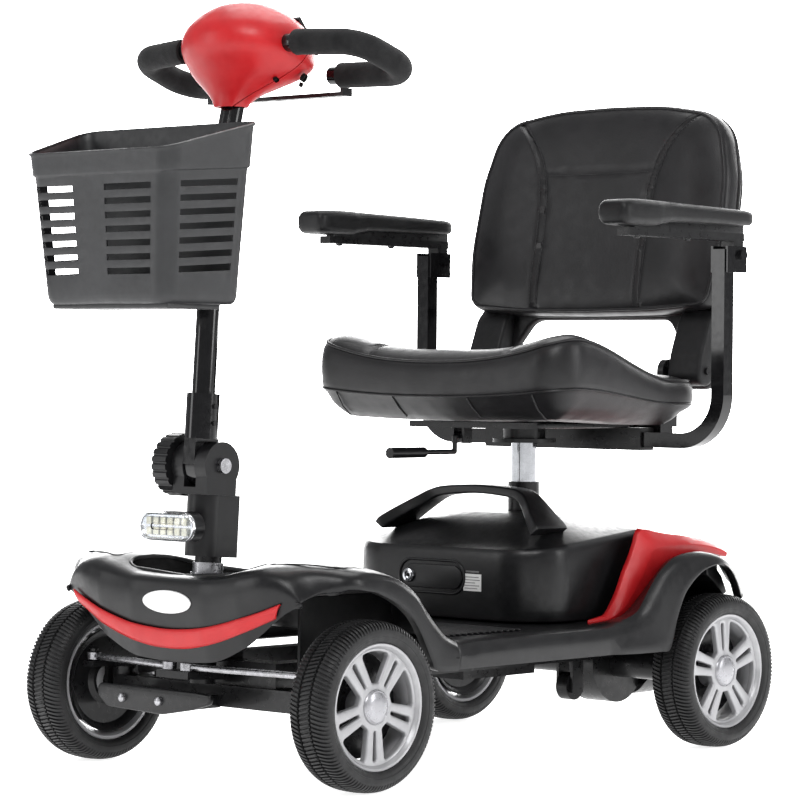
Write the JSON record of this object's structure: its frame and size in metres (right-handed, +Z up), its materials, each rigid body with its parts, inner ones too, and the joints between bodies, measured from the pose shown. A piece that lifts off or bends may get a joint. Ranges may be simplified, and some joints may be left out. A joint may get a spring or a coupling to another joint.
{
  "type": "mobility scooter",
  "caption": "Four-wheeled electric mobility scooter with a tilting tiller, loop handlebars, front basket, swivel seat with padded backrest and flip-up armrests, and a lift-out battery.",
  "frame": {"origin": "middle of the bounding box on the floor", "axes": "+Z up, the front of the scooter faces -Y, +X is the rider's left"},
  "size_m": [0.5718, 0.993, 0.9302],
  "materials": {
    "black_steel": "satin black powder coat",
    "gloss_black_tube": "gloss black",
    "black_abs": "satin black",
    "red_abs": "satin red",
    "grey_black_plastic": "fine texture",
    "tyre_rubber": "matt",
    "silver_rim": "silver metallic paint",
    "bright_steel": "zinc plated",
    "chrome_post": "polished",
    "foam": "matt foam",
    "seat_leather": "black grained vinyl",
    "clear_lens": "clear",
    "soft_pad": "black moulded polyurethane"
  },
  "bodies": {
    "chassis": {"main_frame": "black_steel", "front_axle_beam": "black_steel", "guard_plate": "black_steel", "drive_unit": "black_steel", "anti_tip_bracket": "black_steel", "seat_socket": "black_steel", "front_shroud": "black_abs", "nose_strip": "red_abs", "deck_shell": "black_abs", "rear_fenders": "black_abs", "rear_cover": "red_abs"},
    "steering": {"steering_column": "black_steel", "bearing_nut": "bright_steel", "column_collar": "black_abs", "tilt_bolt": "bright_steel", "headlight_housing": "black_abs", "headlight_lens": "clear_lens"},
    "knuckle_left": {"steering_knuckle_left": "black_steel"},
    "knuckle_right": {"steering_knuckle_right": "black_steel"},
    "rod_left": {"tie_rod_left": "bright_steel"},
    "rod_right": {"tie_rod_right": "bright_steel"},
    "wheel_front_left": {"tyre_front_left": "tyre_rubber", "rim_front_left": "silver_rim"},
    "wheel_front_right": {"tyre_front_right": "tyre_rubber", "rim_front_right": "silver_rim"},
    "wheel_rear_left": {"tyre_rear_left": "tyre_rubber", "rim_rear_left": "silver_rim"},
    "wheel_rear_right": {"tyre_rear_right": "tyre_rubber", "rim_rear_right": "silver_rim"},
    "tiller": {"tiller_knuckle": "gloss_black_tube", "tiller_tube": "gloss_black_tube", "basket_bracket": "black_steel", "head_top_cover": "red_abs", "head_bottom_cover": "red_abs", "handlebar": "gloss_black_tube", "foam_grips": "foam", "console_panel": "black_abs"},
    "knob": {"tilt_knob": "black_abs"},
    "dial": {"speed_dial": "black_abs"},
    "key": {"ignition_key": "bright_steel"},
    "horn": {"horn_button": "black_abs"},
    "throttle": {"throttle_lever": "black_abs"},
    "basket": {"front_basket": "grey_black_plastic"},
    "roller": {"anti_tip_roller": "black_steel"},
    "battery": {"battery_case": "black_abs", "battery_handle": "black_abs", "charge_socket": "bright_steel"},
    "post": {"seat_post": "chrome_post"},
    "seat": {"seat_frame": "black_steel", "seat_pan": "black_abs", "seat_cushion": "seat_leather"},
    "lever": {"swivel_lever": "black_abs"},
    "backrest": {"backrest_shell": "black_abs", "backrest_cushion": "seat_leather"},
    "arm_left": {"arm_tube_left": "gloss_black_tube"},
    "arm_right": {"arm_tube_right": "gloss_black_tube"},
    "pad_left": {"arm_channel_left": "black_steel", "arm_pad_left": "soft_pad"},
    "pad_right": {"arm_channel_right": "black_steel", "arm_pad_right": "soft_pad"}
  },
  "joints": [
    {"name": "steering", "type": "hinge", "parent": "chassis", "child": "steering", "pos_m": [0, -0.3187, 0.133], "axis": [0, 0.061, 0.9981], "range_deg": [-20, 20]},
    {"name": "kingpin_left", "type": "hinge", "parent": "chassis", "child": "knuckle_left", "pos_m": [0.176, -0.2802, 0.1], "axis": [0, 0, 1], "range_deg": [-20, 20]},
    {"name": "kingpin_right", "type": "hinge", "parent": "chassis", "child": "knuckle_right", "pos_m": [-0.176, -0.2802, 0.1], "axis": [0, 0, 1], "range_deg": [-20, 20]},
    {"name": "tie_rod_left_pivot", "type": "hinge", "parent": "steering", "child": "rod_left", "pos_m": [0.015, -0.35863, 0.13544], "axis": [0, 0.061, 0.9981], "range_deg": [-20, 20]},
    {"name": "tie_rod_right_pivot", "type": "hinge", "parent": "steering", "child": "rod_right", "pos_m": [-0.015, -0.35863, 0.13544], "axis": [0, 0.061, 0.9981], "range_deg": [-20, 20]},
    {"name": "wheel_front_left_spin", "type": "hinge", "parent": "knuckle_left", "child": "wheel_front_left", "pos_m": [0.227, -0.2802, 0.1], "axis": [1, 0, 0], "continuous": true},
    {"name": "wheel_front_right_spin", "type": "hinge", "parent": "knuckle_right", "child": "wheel_front_right", "pos_m": [-0.227, -0.2802, 0.1], "axis": [1, 0, 0], "continuous": true},
    {"name": "wheel_rear_left_spin", "type": "hinge", "parent": "chassis", "child": "wheel_rear_left", "pos_m": [0.227, 0.3888, 0.1], "axis": [1, 0, 0], "continuous": true},
    {"name": "wheel_rear_right_spin", "type": "hinge", "parent": "chassis", "child": "wheel_rear_right", "pos_m": [-0.227, 0.3888, 0.1], "axis": [1, 0, 0], "continuous": true},
    {"name": "tiller_tilt", "type": "hinge", "parent": "steering", "child": "tiller", "pos_m": [0, -0.31669, 0.37303], "axis": [-1, 0, 0], "range_deg": [-5, 10]},
    {"name": "tilt_knob_turn", "type": "hinge", "parent": "steering", "child": "knob", "pos_m": [0, -0.31669, 0.37303], "axis": [1, 0, 0], "continuous": true},
    {"name": "speed_dial_turn", "type": "hinge", "parent": "tiller", "child": "dial", "pos_m": [0.03, -0.1997, 0.892], "axis": [0, 0.766, 0.6428], "range_deg": [-135, 135]},
    {"name": "key_turn", "type": "hinge", "parent": "tiller", "child": "key", "pos_m": [-0.032, -0.1997, 0.892], "axis": [0, 0.766, 0.6428], "range_deg": [-60, 0]},
    {"name": "horn_press", "type": "slide", "parent": "tiller", "child": "horn", "axis": [0, -0.766, -0.6428], "range_m": [0, 0.0025], "stiffness_N_per_m": 300},
    {"name": "throttle_turn", "type": "hinge", "parent": "tiller", "child": "throttle", "pos_m": [0, -0.1977, 0.818], "axis": [0, 0, 1], "range_deg": [-9, 9], "stiffness_Nm_per_rad": 2},
    {"name": "basket_lift", "type": "slide", "parent": "tiller", "child": "basket", "axis": [0, 0, 1], "range_m": [0, 0.03]},
    {"name": "anti_tip_spin", "type": "hinge", "parent": "chassis", "child": "roller", "pos_m": [0.066, 0.2903, 0.074], "axis": [1, 0, 0], "continuous": true},
    {"name": "battery_lift", "type": "slide", "parent": "chassis", "child": "battery", "axis": [0, 0, 1], "range_m": [0, 0.03]},
    {"name": "seat_height", "type": "slide", "parent": "chassis", "child": "post", "axis": [0, 0, 1], "range_m": [0, 0.05]},
    {"name": "seat_swivel", "type": "hinge", "parent": "post", "child": "seat", "pos_m": [0, 0.2713, 0.4], "axis": [0, 0, 1], "range_deg": [-90, 90]},
    {"name": "swivel_release", "type": "hinge", "parent": "seat", "child": "lever", "pos_m": [-0.032, 0.1823, 0.402], "axis": [-1, 0, 0], "range_deg": [0, 7], "stiffness_Nm_per_rad": 1},
    {"name": "backrest_fold", "type": "hinge", "parent": "seat", "child": "backrest", "pos_m": [0, 0.3993, 0.49], "axis": [1, 0, 0], "range_deg": [0, 75]},
    {"name": "arm_width_left", "type": "slide", "parent": "seat", "child": "arm_left", "axis": [1, 0, 0], "range_m": [0, 0.03]},
    {"name": "arm_width_right", "type": "slide", "parent": "seat", "child": "arm_right", "axis": [-1, 0, 0], "range_m": [0, 0.03]},
    {"name": "arm_flip_left", "type": "hinge", "parent": "arm_left", "child": "pad_left", "pos_m": [0.257, 0.3833, 0.6407], "axis": [-1, 0, 0], "range_deg": [0, 95]},
    {"name": "arm_flip_right", "type": "hinge", "parent": "arm_right", "child": "pad_right", "pos_m": [-0.257, 0.3833, 0.6407], "axis": [-1, 0, 0], "range_deg": [0, 95]}
  ],
  "couplings": [
    {"joint": "kingpin_left", "follows": "steering", "ratio": 1},
    {"joint": "kingpin_right", "follows": "steering", "ratio": 1},
    {"joint": "tie_rod_left_pivot", "follows": "steering", "ratio": -1},
    {"joint": "tie_rod_right_pivot", "follows": "steering", "ratio": -1}
  ]
}
